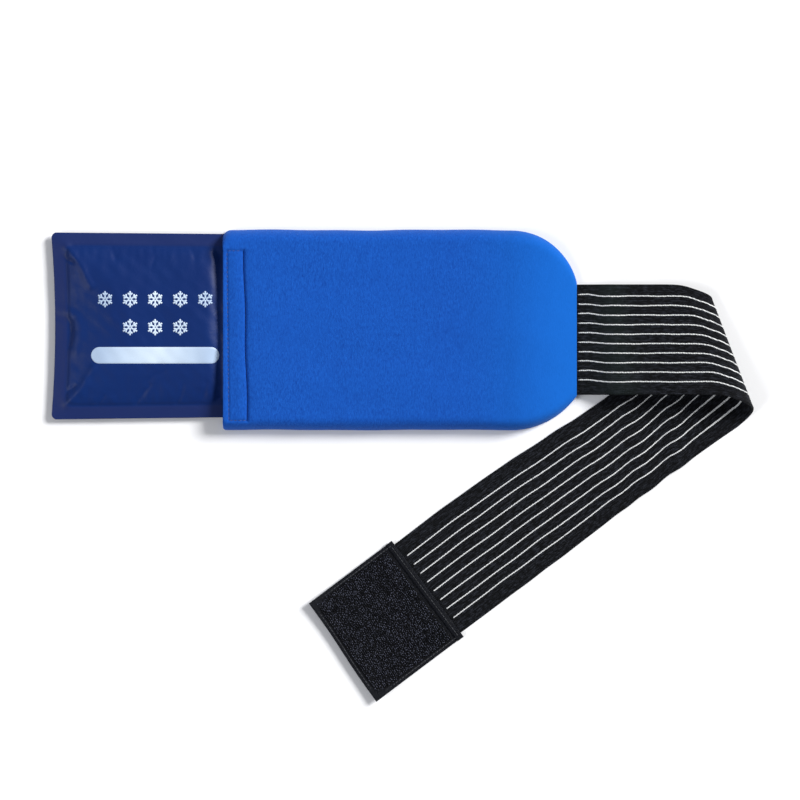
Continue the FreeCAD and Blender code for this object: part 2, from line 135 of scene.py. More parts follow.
# two large soft lamps, so far off that they light the whole table alike: the way to each, its spread in
# degrees, its strength and its tint
for name, place, spread, strength, tint in (
    ("key_lamp", (1.25, 0.72, 1.0), 23.0, 4.25, "#FFFFFF"),
    ("left_lamp", (-1.0, -0.4, 1.0), 25.0, 1.05, "#F4F7FF"),
):
    lamp = bpy.data.lights.new(name, "SUN")
    lamp.angle = math.radians(spread)
    lamp.energy = strength
    lamp.color = linear(tint)[:3]
    tilt = math.acos(place[2] / math.dist(place, (0, 0, 0)))
    into_scene(name, lamp, place, (tilt, 0, math.atan2(place[1], place[0]) + math.pi / 2))
room = bpy.data.worlds.new("room")
room.use_nodes = True
room.node_tree.nodes["Background"].inputs["Color"].default_value = linear("#FCFDFF")
room.node_tree.nodes["Background"].inputs["Strength"].default_value = 0.24
bpy.context.scene.world = room

# --- Back ply: plush ---
# Brushed polyester plush, cut to the sleeve's outline: square at the mouth, round at the two shoulders by the
# strap. It lies flat on the table, pile side down.
LENGTH_HALF = 120.0
WIDTH_HALF = 68.0
PLUSH = 1.0


def shoulder(x, start, radius):
    """Half the sleeve's width where a round shoulder begins at start."""
    over = np.clip(x - start, 0, None)
    return WIDTH_HALF - radius + np.sqrt(radius**2 - over**2)


def sleeve_edges(x):
    """The outline's low and high edge at each x, with the mouth's two corners rounded."""
    low, high = -shoulder(x, 76.0, 52.8), shoulder(x, 75.0, 45.9)
    for edge, radius, side in ((high, 5.4, -1), (low, 1.8, 1)):
        over = np.clip(radius - (x + LENGTH_HALF), 0, radius)
        edge += side * (radius - np.sqrt(radius**2 - over**2))
    waver = 0.25 * np.sin(x / 19.0) + 0.15 * np.sin(x / 7.3 + 1.0)
    return low + waver * 0.7, high + waver


def lines(low, high, step, radius):
    """Places along one direction of a sheet, closer together where its two edges are rounded."""
    ends = radius * np.array([0, 0.15, 0.5, 1.0])
    inner = np.linspace(low + radius, high - radius, max(2, round((high - low) / step)))
    return np.concatenate([low + ends[:-1], inner, high - ends[-2::-1]])


def swell(places, radius):
    """How full the sheet is at each place: 0 on its two edges and 1 further in than radius."""
    inside = np.minimum(places - places[0], places[-1] - places) / radius
    return np.sqrt(1 - (1 - np.clip(inside, 0, 1)) ** 2)


def plump(places, across, thick, across_radius=None):
    """Half the thickness of a sheet over a grid of places, round at all four edges."""
    return thick / 2 * np.outer(swell(places, thick / 2), swell(across, across_radius or thick / 2))


def xyz(x, y, z):
    """Points from their three coordinates, each a grid or a single number."""
    return np.stack(np.broadcast_arrays(x, y, z), -1)


def unit(vectors):
    """The same directions, each one long."""
    return vectors / np.linalg.norm(vectors, axis=-1, keepdims=True)


def soft_noise(x, y, wavelength, seed):
    """A smooth unevenness from -1 to 1, made of a few waves."""
    draw = random.Random(seed)
    total = 0.0
    for _ in range(7):
        turn, phase, reach = draw.uniform(0, math.tau), draw.uniform(0, math.tau), draw.uniform(0.7, 1.5)
        along = x * math.cos(turn) + y * math.sin(turn)
        total = total + np.sin(along * math.tau / wavelength / reach + phase)
    return total / 3.5


def object_from(name, points, faces, material, values=None):
    """A smooth mesh object from points in mm. Values are extra numbers that its material reads."""
    mesh = bpy.data.meshes.new(name)
    mesh.from_pydata((np.asarray(points) * MM).tolist(), [], [tuple(face) for face in faces])
    mesh.polygons.foreach_set("use_smooth", np.ones(len(mesh.polygons), bool))
    mesh.materials.append(material)
    for label, numbers in (values or {}).items():
        attribute = mesh.attributes.new(label, "FLOAT_VECTOR", "POINT")
        attribute.data.foreach_set("vector", np.asarray(numbers, float).ravel())
    return into_scene(name, mesh)


def squares(grid):
    """The faces between the numbered points of a grid."""
    return np.stack([grid[:-1, :-1], grid[1:, :-1], grid[1:, 1:], grid[:-1, 1:]], -1).reshape(-1, 4)


def closed_form(name, top, bottom, material, values=None):
    """A closed piece from two grids of points that share their border."""
    rows, columns = top.shape[:2]
    above = np.arange(rows * columns).reshape(rows, columns)
    inner = np.zeros((rows, columns), bool)
    inner[1:-1, 1:-1] = True
    below = above.copy()
    below[inner] = rows * columns + np.arange(inner.sum())
    border = ~inner
    top = top.copy()
    top[border] = (top[border] + bottom[border]) / 2
    points = np.concatenate([top.reshape(-1, 3), bottom[inner]])
    faces = squares(above).tolist() + squares(below)[:, ::-1].tolist()
    spread = {
        label: np.concatenate([numbers.reshape(-1, 3), numbers[inner]])
        for label, numbers in (values or {}).items()
    }
    return object_from(name, points, faces, material, spread)


def cloth(name, middle, half, material):
    """A sheet: middle is its mid surface and half its half thickness, 0 along the border."""
    out = unit(np.cross(np.gradient(middle, axis=0), np.gradient(middle, axis=1)))
    shift = out * half[..., None]
    return closed_form(name, middle + shift, middle - shift, material)


def brushed_plush():
    """Brushed polyester plush, piece dyed blue: short pile that lies in streaks along the ply's width."""
    made, tree = start_material("brushed_polyester_plush")
    place = add(tree, "TexCoord").outputs["Object"]
    # pile streaks about 1.1 mm wide and three times as long, coarser than the real fibre so that they show
    streaks = add(tree, "Mapping", Vector=place, Scale=(1250.0, 400.0, 900.0))
    pile = add(tree, "TexNoise", Vector=streaks, Scale=1.0, Detail=4.0, Roughness=0.62, Distortion=0.6)
    # single tufts about 0.5 mm across
    tufts = add(tree, "TexNoise", Vector=place, Scale=2000.0, Detail=2.0, Roughness=0.7)
    # patches 30 mm across where the pile was stroked another way
    strokes = add(tree, "TexNoise", Vector=place, Scale=34.0, Detail=2.0, Distortion=0.4)
    shade = add(tree, "ValToRGB", tones=((0.28, "#0D3F96"), (0.74, "#1B5EC0")), Fac=pile)
    stroked = add(tree, "MapRange", Value=strokes, From_Min=0.3, From_Max=0.7, To_Max=0.35)
    colour = add(tree, "Mix", [(0, stroked), (6, shade), (7, "#1350AE")], data_type="RGBA")
    # painted highlight: towards the strap end, where the sleeve slopes down towards the lamp, the blue is
    # painted lighter and greener
    spot = add(tree, "SeparateXYZ", Vector=place)
    end_painted_highlight = add(
        tree, "MapRange", Value=spot, From_Min=0.03, From_Max=0.125, To_Max=0.8,
        interpolation_type="SMOOTHSTEP",
    )
    colour_with_painted_highlight = add(tree, "Mix", [(0, end_painted_highlight), (6, colour), (7, "#0F62BE")], data_type="RGBA")
    both = add(tree, "Math", [(0, pile), (1, 0.65), (2, tufts)], operation="MULTIPLY_ADD")
    # the pile's tips catch the light at a slant, so the cloth looks a little paler towards its rounded sides
    return finish_material(
        made, both, 0.4, 0.0004, Base_Color=colour_with_painted_highlight, Roughness=0.95, Specular_IOR_Level=0.1,
        Sheen_Weight=0.18, Sheen_Roughness=0.45, Sheen_Tint="#9CC4FF",
    )


plush = brushed_plush()
EDGE_SHARE = 0.01
across = lines(-1, 1, 0.025, EDGE_SHARE)
back_x = lines(-LENGTH_HALF, LENGTH_HALF, 1.6, PLUSH / 2)
low, high = sleeve_edges(back_x)
back_y = low[:, None] + (across + 1)[None] / 2 * (high - low)[:, None]
back_middle = xyz(back_x[:, None], back_y, PLUSH / 2)
back_ply = cloth("back_plush_ply", back_middle, plump(back_x, across, PLUSH, EDGE_SHARE), plush)
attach(back_ply, "sleeve")
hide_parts("back_plush")

# --- Back ply: lining ---
# Brushed knit flame-bonded to a thin foam, pale grey, which shows as a fine line where the laminate is cut.
# It is bonded to the plush, and stops just short of it along the sewn edges.
LINING = 0.8
LINING_INSET = 1.3
BOND = 0.05


def bonded_foam():
    """Polyester-faced open-cell foam, pale grey: matte, with fine cells."""
    made, tree = start_material("flame_bonded_foam")
    place = add(tree, "TexCoord").outputs["Object"]
    # foam cells about 0.6 mm across
    cells = add(tree, "TexVoronoi", Vector=place, Scale=1600.0)
    cloud = add(tree, "TexNoise", Vector=place, Scale=120.0, Detail=3.0)
    colour = add(tree, "Mix", [(0, cloud), (6, "#8C9AB2"), (7, "#A9B5C8")], data_type="RGBA")
    return finish_material(made, cells, 0.5, 0.0003, Base_Color=colour, Roughness=0.9, Specular_IOR_Level=0.2)


foam = bonded_foam()
lining_x = lines(-LENGTH_HALF + 0.2, LENGTH_HALF - 0.2, 2.4, LINING / 2)
low, high = sleeve_edges(lining_x)
lining_y = (low + LINING_INSET)[:, None] + (across + 1)[None] / 2 * (high - low - 2 * LINING_INSET)[:, None]
lining_middle = xyz(lining_x[:, None], lining_y, PLUSH + BOND + LINING / 2)
back_foam = cloth("back_lining_ply", lining_middle, plump(lining_x, across, LINING, EDGE_SHARE), foam)
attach(back_foam, "sleeve")
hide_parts("back_lining")

# --- Mouth closure: loop tape on the back lining ---
# Woven nylon tape with a brushed loop face, navy, sewn inside the mouth to close it on the pack.
STRIP_LEFT, STRIP_RIGHT = -117.0, -104.0
STRIP_LOW, STRIP_HIGH = -61.5, 53.5
STRIP = 0.8


def fastening_tape(name, dark, light, size, rough=0.45, shine=0.2, ends=(0.45, 1.1)):
    """Woven nylon tape with a brushed or hooked face: matte and speckled, grains about size mm across."""
    made, tree = start_material(name)
    place = add(tree, "TexCoord").outputs["Object"]
    grains = add(tree, "TexVoronoi", Vector=place, Scale=1000.0 / size)
    cloud = add(tree, "TexNoise", Vector=place, Scale=260.0, Detail=3.0, Roughness=0.6)
    mottled = add(tree, "Math", [(0, grains), (1, 0.8), (2, cloud)], operation="MULTIPLY_ADD")
    shade = add(tree, "ValToRGB", tones=zip(ends, (dark, light)), Fac=mottled)
    return finish_material(
        made, grains, 0.7, 0.0004, Base_Color=shade, Roughness=rough, Specular_IOR_Level=shine,
    )


loop_tape = fastening_tape("brushed_nylon_loop_tape", "#101B3E", "#2B3B6E", 0.5)
strip_x = lines(STRIP_LEFT, STRIP_RIGHT, 0.9, STRIP / 2)
strip_y = lines(STRIP_LOW, STRIP_HIGH, 0.9, STRIP / 2)
strip_full = np.outer(swell(strip_x, STRIP / 2), swell(strip_y, STRIP / 2))
grid_x, grid_y = np.meshgrid(strip_x, strip_y, indexing="ij")
# the brushed loops leave the tape's face uneven by up to 0.12 mm
loops = 0.12 * soft_noise(grid_x, grid_y, 2.4, 3) * strip_full
strip_middle = xyz(grid_x, grid_y, PLUSH + LINING + 2 * BOND + STRIP / 2)
loop_strip = cloth("mouth_loop_tape", strip_middle, strip_full * STRIP / 2 - np.abs(loops), loop_tape)
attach(loop_strip, "sleeve")
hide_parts("mouth_loop_strip")

# --- Gel pack ---
# Two navy nylon-laminate films, heat sealed round a flat rim and filled with soft gel, pushed part way into
# the sleeve. The seal gathers the film: pleats along the rim, a pinch in from each corner, and one creased
# dent at the left.
PACK_LEFT, PACK_RIGHT = -237.0, -47.0
PACK_LOW, PACK_HIGH = -59.4, 65.2
PACK_BASE = 3.0
SEAM_EDGE, SEAM_INNER = 4.3, 5.9
FILM = 0.3
RIM = 9.0
DOME_RISE = 7.4
DOME_HALF = 54.5
DOME_SHARES = (0.0, 0.03, 0.1, 0.22, 0.38, 0.56, 0.74, 1.0)
DOME_HEIGHTS = (0.0, 0.15, 0.34, 0.57, 0.78, 0.92, 1.0, 1.0)


def pack_edges(x):
    """The pack's low and high edge at each x, a little drawn in towards the mouth of the sleeve."""
    outside = np.clip((-LENGTH_HALF - x) / (-LENGTH_HALF - PACK_LEFT), 0, 1)
    return PACK_LOW - 1.4 * outside, PACK_HIGH + 1.0 * outside


def pack_left(y):
    """The pack's left edge: bowed in at its middle, and rounded at its corners."""
    share = (y - 2.0) / 63.5
    over = np.clip(np.abs(y - 2.7) - 59.5, 0, 4.0)
    return PACK_LEFT + 2.7 * (1 - share**2) + 4.0 - np.sqrt(16.0 - over**2 * 0.96)


def hump(off, width):
    """A smooth rise that is 1 where off is 0 and all but gone at twice the width."""
    return np.exp(-((off / width) ** 2))


def distance_to(x, y, path):
    """How far each point is from a line through the path's points."""
    nearest = np.full(np.shape(x), np.inf)
    for (ax, ay), (bx, by) in zip(path, path[1:]):
        dx, dy = bx - ax, by - ay
        share = np.clip(((x - ax) * dx + (y - ay) * dy) / (dx * dx + dy * dy), 0, 1)
        nearest = np.minimum(nearest, np.hypot(x - ax - share * dx, y - ay - share * dy))
    return nearest


# creases and puckers: the path of each, its depth (a ridge is negative) and its width
PACK_CREASES = (
    (((-235.5, 10.0), (-229.0, 8.4), (-224.6, 4.6), (-223.6, -1.5), (-225.4, -10.0)), 2.2, 1.9),
    (((-229.5, 14.0), (-219.0, 9.5), (-216.5, -1.0), (-219.5, -14.0)), -0.7, 3.2),
    (((-227.0, 57.0), (-218.0, 46.0), (-210.0, 30.0)), -1.0, 2.8),
    (((-226.0, -50.0), (-217.0, -41.0), (-208.0, -26.0)), -1.0, 2.8),
    (((-229.5, 50.0), (-222.0, 46.0)), 0.8, 1.2),
    (((-228.0, -43.0), (-221.0, -38.5)), 0.8, 1.2),
    (((-180.0, -51.0), (-176.5, -46.0), (-170.0, -38.0)), 0.55, 1.5),
    (((-172.0, -35.5), (-166.3, -30.6), (-160.0, -29.0)), 0.35, 1.6),
    (((-152.0, -50.5), (-149.3, -46.0), (-147.5, -38.0)), 0.45, 1.5),
    (((-137.0, -51.0), (-133.0, -44.0), (-131.5, -36.0)), 0.4, 1.6),
    (((-205.0, -51.0), (-201.0, -45.0)), 0.5, 1.3),
    (((-196.0, 56.0), (-193.0, 48.0)), 0.4, 1.5),
    (((-168.0, 56.0), (-166.0, 49.0), (-168.0, 44.0)), 0.35, 1.5),
    (((-142.0, 56.0), (-139.0, 48.0)), 0.35, 1.5),
    (((-121.5, 56.0), (-122.0, 0.0), (-121.5, -50.0)), 2.6, 5.0),
)


def seam_level(inside):
    """The height of the seal, which droops towards its cut edge."""
    return SEAM_EDGE + (SEAM_INNER - SEAM_EDGE) * np.clip(1 + inside / RIM, 0, 1)


def pack_rise(x, y):
    """How far the front film stands above the seal, and how far each point is inside the rim."""
    low, high = pack_edges(x)
    sides = np.stack([x - pack_left(y) - RIM, PACK_RIGHT - RIM - x, high - RIM - y, y - low - RIM])
    # the nearest side counts most, so the corners come out round
    corner = 2.2
    inside = -corner * np.log(np.exp(-sides / corner).sum(0))
    rise = DOME_RISE * np.interp(np.clip(inside, 0, None) / DOME_HALF, DOME_SHARES, DOME_HEIGHTS)
    taut = np.clip(inside / 5.0, 0, 1)
    # short pleats run in from the seal, about 6 mm apart, and fade over 12 mm
    pleats = 0.2 * np.sin(x / 0.95 + 1.3 * np.sin(x / 9.0)) * np.exp(-np.clip(inside, 0, None) / 5.0) * taut
    pleats = pleats * np.exp(-(np.minimum(sides[0], 14.0) - 14.0) ** 2 / 90.0)
    rise = rise + pleats + taut * (0.35 * soft_noise(x, y, 34.0, 11) + 0.12 * soft_noise(x, y, 9.0, 12))
    for path, depth, width in PACK_CREASES:
        rise = rise - depth * hump(distance_to(x, y, path), width) * np.clip((inside + 4) / 4, 0.25, 1)
    # the film dips in a fine gutter where the seal begins
    rise = rise - 0.35 * hump(inside, 0.8)
    return np.clip(rise, -FILM, DOME_RISE + 0.5), inside


def sealed_film():
    """Nylon-laminate film, gravure coloured navy: satin, with faint crinkles and a smoother sealed rim."""
    made, tree = start_material("sealed_nylon_film")
    place = add(tree, "TexCoord").outputs["Object"]
    seal = add(tree, "Attribute", attribute_name="seal")
    rim_share = add(tree, "SeparateXYZ", Vector=seal.outputs["Vector"])
    # crinkles about 6 mm long, and a film grain of 0.4 mm
    crinkle = add(tree, "TexNoise", Vector=place, Scale=150.0, Detail=5.0, Roughness=0.55, Distortion=1.2)
    grain = add(tree, "TexNoise", Vector=place, Scale=2500.0, Detail=1.0)
    cloud = add(tree, "TexNoise", Vector=place, Scale=22.0, Detail=3.0)
    body = add(tree, "Mix", [(0, cloud), (6, "#04205B"), (7, "#082C69")], data_type="RGBA")
    colour = add(tree, "Mix", [(0, rim_share), (6, body), (7, "#18295E")], data_type="RGBA")
    height = add(tree, "Math", [(0, grain), (1, 0.12), (2, crinkle)], operation="MULTIPLY_ADD")
    return finish_material(
        made, height, 0.16, 0.0012, Base_Color=colour, Roughness=0.44, Specular_IOR_Level=0.2, IOR=1.5,
    )


film = sealed_film()
along_share = lines(0, 1, 0.0055, 0.002)
side_share = lines(0, 1, 0.0085, 0.003)
u, v = np.meshgrid(along_share, side_share, indexing="ij")
low, high = pack_edges(PACK_LEFT + u * (PACK_RIGHT - PACK_LEFT))
pack_y = low + v * (high - low)
edge_x = pack_left(pack_y)
pack_x = edge_x + u * (PACK_RIGHT - edge_x)
rise, inside = pack_rise(pack_x, pack_y)
seal_full = np.outer(swell(along_share, 0.002), swell(side_share, 0.003))
rim_wave = 0.22 * soft_noise(pack_x, pack_y, 26.0, 14) * np.clip(-inside / 4, 0, 1) * seal_full
seam = seam_level(inside)
# the gel weighs the back film down on to the lining within a few mm of the seal
sag = (seam - FILM - PACK_BASE) * (1 - np.exp(-np.clip(inside, 0, None) / 9.0))
film_top = seam + FILM * seal_full + rise * np.clip(seal_full * 1.5, 0, 1) + rim_wave
film_base = seam - FILM * seal_full - sag + rim_wave
pack_top, pack_under = xyz(pack_x, pack_y, film_top), xyz(pack_x, pack_y, film_base)
in_seal = xyz(np.clip(-inside / 1.5, 0, 1), 0, 0)
gel_pack = closed_form("gel_pack_pillow", pack_top, pack_under, film, {"seal": in_seal})
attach(gel_pack, "gel_pack")
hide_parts("pack_back_film", "pack_front_film", "gel_filling")

# --- Print on the gel pack ---
# Pale blue ink, screen printed on the film: snow crystals in two rows over a lozenge that is left blank.
# Each mark is a thin skin that follows the film.
PRINT_MIDDLE = -166.0
INK_LIFT = 0.12
MARK_REACH = 5.5
MARK_PITCH = 17.0
BARB_REACH, BARB_LEAN = 2.1, 0.9
INK_BAR = 1.15
LOZENGE_HALF, LOZENGE_RADIUS, LOZENGE_Y = 43.5, 5.6, -17.3


def screen_ink():
    """Screen ink on film: satin, pale blue, paler towards the middle of the lozenge."""
    made, tree = start_material("screen_printed_ink")
    place = add(tree, "TexCoord").outputs["Object"]
    spot = add(tree, "SeparateXYZ", Vector=place)
    off_middle = add(
        tree, "MapRange", Value=spot, From_Min=PRINT_MIDDLE * MM,
        From_Max=(PRINT_MIDDLE + LOZENGE_HALF + 0.5) * MM, clamp=False,
    )
    away = add(tree, "Math", [(0, off_middle)], operation="ABSOLUTE")
    # specks of bare film about 0.6 mm across
    speckle = add(tree, "TexNoise", Vector=place, Scale=1800.0, Detail=2.0)
    share = add(tree, "Math", [(0, speckle), (1, 0.3), (2, away)], operation="MULTIPLY_ADD")
    colour = add(tree, "ValToRGB", tones=((0.15, "#D4E4F3"), (1.1, "#ABC0DB")), Fac=share)
    return finish_material(made, speckle, 0.1, 0.0002, Base_Color=colour, Roughness=0.45)


def film_level(x, y):
    """The height of the film's face."""
    rise, inside = pack_rise(x, y)
    return seam_level(inside) + FILM + rise


def join(parts):
    """One list of points and of faces out of several."""
    points, faces, count = [], [], 0
    for some_points, some_faces in parts:
        points.append(some_points)
        faces.extend([tuple(int(corner) + count for corner in face) for face in some_faces])
        count += len(some_points)
    return np.concatenate(points), faces


def ink_patch(x, y, lift):
    """A thin skin of ink over a grid of places on the film, with a rim that goes down to the film."""
    level = film_level(x, y)
    rows, columns = x.shape
    border = np.ones((rows, columns), bool)
    border[1:-1, 1:-1] = False
    top = xyz(x, y, level + np.where(border, 0.0, lift)).reshape(-1, 3)
    under = xyz(x, y, level - 0.05).reshape(-1, 3)
    grid = np.arange(x.size).reshape(rows, columns)
    skin = squares(grid)
    ring = np.concatenate([grid[0, :-1], grid[:-1, -1], grid[-1, :0:-1], grid[:0:-1, 0]])
    wall = np.stack([ring, np.roll(ring, -1), np.roll(ring, -1) + x.size, ring + x.size], -1)
    return np.concatenate([top, under]), np.concatenate([skin, skin[:, ::-1] + x.size, wall])


def ink_bar(start, end, lift):
    """One straight stroke of ink."""
    start, end = np.array(start), np.array(end)
    way = (end - start) / np.linalg.norm(end - start)
    side = np.array([-way[1], way[0]]) * INK_BAR / 2
    s, t = np.meshgrid([0, 0.04, 0.25, 0.5, 0.75, 0.96, 1], [-1, -0.85, 0, 0.85, 1], indexing="ij")
    spots = start + (end - start) * s[..., None] + side * t[..., None]
    return ink_patch(spots[..., 0], spots[..., 1], lift)


def snow_crystal(x, y):
    """Six arms, each with a pair of barbs. Strokes that cross differ a little in height."""
    strokes = []
    middle = np.array([x, y])
    for arm in range(6):
        turn = math.pi / 6 + arm * math.pi / 3
        ray = np.array([math.cos(turn), math.sin(turn)])
        strokes.append(ink_bar(middle + ray * 0.4, middle + ray * MARK_REACH, INK_LIFT + 0.01 * arm))
        for lean in (-BARB_LEAN, BARB_LEAN):
            barb = np.array([math.cos(turn + lean), math.sin(turn + lean)])
            foot = middle + ray * MARK_REACH * 0.52
            strokes.append(ink_bar(foot, foot + barb * BARB_REACH, INK_LIFT + 0.06 + 0.01 * arm))
    return strokes


ink = screen_ink()
marks = []
for count, row_y in ((5, 20.7), (3, 1.7)):
    for number in range(count):
        marks += snow_crystal(PRINT_MIDDLE + (number - (count - 1) / 2) * MARK_PITCH, row_y)
crystals = object_from("printed_crystals", *join(marks), ink)
reach = lines(-LOZENGE_HALF, LOZENGE_HALF, 1.2, 1.6)
past = np.clip(np.abs(reach) - LOZENGE_HALF + LOZENGE_RADIUS, 0, LOZENGE_RADIUS * 0.999)
tall = np.sqrt(LOZENGE_RADIUS**2 - past**2)
s, t = np.meshgrid(reach, [-1, -0.97, -0.7, -0.35, 0, 0.35, 0.7, 0.97, 1], indexing="ij")
points, faces = ink_patch(PRINT_MIDDLE + s, LOZENGE_Y + t * tall[:, None], INK_LIFT)
lozenge = object_from("printed_lozenge", points, faces, ink)
for printed in (crystals, lozenge):
    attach(printed, "gel_pack")
    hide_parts("pack_print")

# --- Front ply: lining ---
# The same foam laminate as the back, arched over the pack and cut with the plush, so that it peeps out at
# both ends.
TOP = 16.5
END_TOP = 5.7
END_START = 76.0
ANCHOR_RISE = 9.0
EDGE_ROUND = 9.0
FRONT_LINES = 171


def crown_of(share, half_wide):
    """The share of its full rise that the front has across the sleeve: steep sides and a nearly flat top."""
    from_edge = np.clip((1 - np.abs(share)) * half_wide / EDGE_ROUND, 0, 1)
    return np.sqrt(1 - (1 - from_edge) ** 2.5) * (0.94 + 0.06 * (1 - share**2))


def crest_of(x):
    """The height of the front's face along its middle, which falls away over the strap's tail."""
    return TOP + (END_TOP - TOP) * (np.clip(x - END_START, 0, None) / (LENGTH_HALF - END_START)) ** 2


def seam_line(y):
    """Where the closure's inner row of stitches runs, a little out of square."""
    return -103.4 - 2.5 * (y - STRIP_LOW) / (STRIP_HIGH - STRIP_LOW) + 0.35 * np.sin(y / 9.0)


def mouth_line(y):
    """Where the closure's outer row of stitches runs."""
    return -116.0 - 1.3 * (y - STRIP_LOW) / (STRIP_HIGH - STRIP_LOW)


def closure_marks(x, y, crown):
    """What the sewn closure does to the front: a gutter along the stitches, and the cloth full beside it."""
    within = np.clip((STRIP_HIGH + 1.5 - y) / 3, 0, 1) * np.clip((y - STRIP_LOW + 1.5) / 3, 0, 1)
    from_seam = x - seam_line(y)
    inner_gutter = -1.7 * hump(from_seam, 0.85) * within
    box = ((seam_line(STRIP_HIGH), STRIP_HIGH), (mouth_line(STRIP_HIGH), STRIP_HIGH),
           (mouth_line(STRIP_LOW), STRIP_LOW), (seam_line(STRIP_LOW), STRIP_LOW))
    outer_gutter = -0.7 * hump(distance_to(x, y, box), 0.8)
    beside = -1.0 * np.exp(-np.clip(from_seam, 0, None) / 3.5) * within
    band = np.where(from_seam <= 0, 0.45 * hump(from_seam + 5.5, 3.5), 0.0) * within
    uneven = 0.4 * soft_noise(x, y, 55.0, 21) + 0.1 * soft_noise(x, y, 16.0, 22)
    return (inner_gutter + outer_gutter + beside + band + uneven) * np.clip(crown * 1.4, 0, 1)


def arch(x, share, depth, foot, foot_end, inset):
    """The mid surface of a layer at depth under the front's face. Share runs from -1 to 1 across the sleeve.
    The layer's sides stand at foot, or at foot_end over the strap, inset from the sleeve's edges."""
    low, high = sleeve_edges(x)
    rise = np.clip((x - LENGTH_HALF + ANCHOR_RISE) / ANCHOR_RISE, 0, 1)
    foot = foot + (foot_end - foot) * rise
    y = (low + inset)[:, None] + (share + 1)[None] / 2 * (high - low - 2 * inset)[:, None]
    crown = crown_of(share[None], (high - low)[:, None] / 2)
    z = foot[:, None] + (crest_of(x) - depth - foot)[:, None] * crown
    return xyz(x[:, None], y, z + closure_marks(x[:, None], y, crown))


# finer at the two ends, where the closure's stitches and the round edge lie
front_x = np.concatenate([
    lines(-LENGTH_HALF, -99.0, 0.55, PLUSH / 2)[:-3], np.arange(-98.5, 108.0, 1.35),
    lines(108.5, LENGTH_HALF, 0.8, PLUSH / 2)[3:],
])
even_share = np.linspace(-1, 1, FRONT_LINES)
front_share = np.sin(even_share * math.pi / 2)
inner_x = front_x * 0.998
inner_middle = arch(inner_x, front_share, depth=1.45, foot=2.0, foot_end=3.7, inset=1.45)
side_full = np.clip((1 - np.abs(even_share)) * 40, 0, 1) ** 0.5
inner_half = LINING / 2 * np.outer(swell(inner_x, LINING / 2), side_full)
front_foam = cloth("front_lining_ply", inner_middle, inner_half, foam)
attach(front_foam, "sleeve")
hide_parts("front_lining")

# --- Mouth closure: hook tape under the front lining ---
# Woven nylon tape with moulded hooks, sewn on the inside of the front, face down.
hook_x = lines(STRIP_LEFT, STRIP_RIGHT, 0.9, STRIP / 2)
hook_share = np.linspace(STRIP_LOW / WIDTH_HALF, STRIP_HIGH / WIDTH_HALF, 90)
hook_middle = arch(hook_x, hook_share, depth=2.35, foot=1.9, foot_end=1.9, inset=2.4)
hook_half = plump(hook_x, np.linspace(0, 1, 90), STRIP, 0.012)
inside_tape = fastening_tape("moulded_nylon_hook_tape", "#0C1634", "#25325C", 0.9)
hook_strip = cloth("mouth_hook_tape", hook_middle, hook_half, inside_tape)
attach(hook_strip, "sleeve")
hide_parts("mouth_hook_strip")

# --- Front ply: plush ---
# The same plush as the back, drawn over the pack, turned down along both sides and sewn to the back ply.
FRONT_FOOT = 0.95
front_middle = arch(front_x, front_share, depth=PLUSH / 2, foot=FRONT_FOOT, foot_end=3.9, inset=PLUSH / 2)
front_half = PLUSH / 2 * np.outer(swell(front_x, PLUSH / 2), side_full)
front_ply = cloth("front_plush_ply", front_middle, front_half, plush)
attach(front_ply, "sleeve")
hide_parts("front_plush")

# --- Closure stitching ---
# Blue polyester lockstitch, 3 mm long, sunk in the pile round both tapes.
STITCH = 3.0
THREAD = 0.3


def tube(path, side, up, wide, high, sides=6):
    """A closed tube round a path, wide and high on the two given axes."""
    turns = np.arange(sides) * math.tau / sides
    wide, high = np.broadcast_to(wide, len(path)), np.broadcast_to(high, len(path))
    ring = path[:, None] + side[:, None] * (wide[:, None] * np.cos(turns))[..., None]
    ring = ring + up[:, None] * (high[:, None] * np.sin(turns))[..., None]
    grid = np.arange(len(path) * sides).reshape(len(path), sides)
    after = np.roll(grid, -1, axis=1)
    walls = np.stack([grid[:-1], after[:-1], after[1:], grid[1:]], -1).reshape(-1, 4)
    tip, tail = len(path) * sides, len(path) * sides + 1
    caps = [(grid[0, (k + 1) % sides], grid[0, k], tip) for k in range(sides)]
    caps += [(grid[-1, k], grid[-1, (k + 1) % sides], tail) for k in range(sides)]
    return np.concatenate([ring.reshape(-1, 3), path[:1], path[-1:]]), walls.tolist() + caps


def lockstitches(path, up, pitch=STITCH, radius=THREAD):
    """Single stitches along a line of points: each rises from the cloth, lies along it and dives back."""
    steps = np.linalg.norm(np.diff(path, axis=0), axis=1)
    run = np.concatenate([[0], np.cumsum(steps)])
    made = []
    for number in range(int(run[-1] / pitch)):
        places = (number + np.array([0.08, 0.2, 0.5, 0.8, 0.92])) * pitch
        spots = np.stack([np.interp(places, run, path[:, axis]) for axis in range(3)], -1)
        ups = unit(np.stack([np.interp(places, run, up[:, axis]) for axis in range(3)], -1))
        side = unit(np.cross(ups, np.gradient(spots, axis=0)))
        sink = np.array([-1.0, 0.1, 0.55, 0.1, -1.0]) * radius
        made.append(tube(spots + ups * sink[:, None], side, ups, radius, radius * 0.85))
    return made


def spun_thread(name, dark, light, twist):
    """Spun polyester thread: satin, with the twist of its plies about twist mm apart."""
    made, tree = start_material(name)
    place = add(tree, "TexCoord").outputs["Object"]
    plies = add(
        tree, "TexWave", Vector=place, Scale=314.0 / twist, Distortion=3.0, Detail=2.0, Detail_Scale=2.0,
        bands_direction="DIAGONAL",
    )
    twists = plies.outputs["Fac"]
    colour = add(tree, "Mix", [(0, twists), (6, dark), (7, light)], data_type="RGBA")
    return finish_material(made, twists, 0.5, 0.0002, Base_Color=colour, Roughness=0.6, Sheen_Weight=0.2)


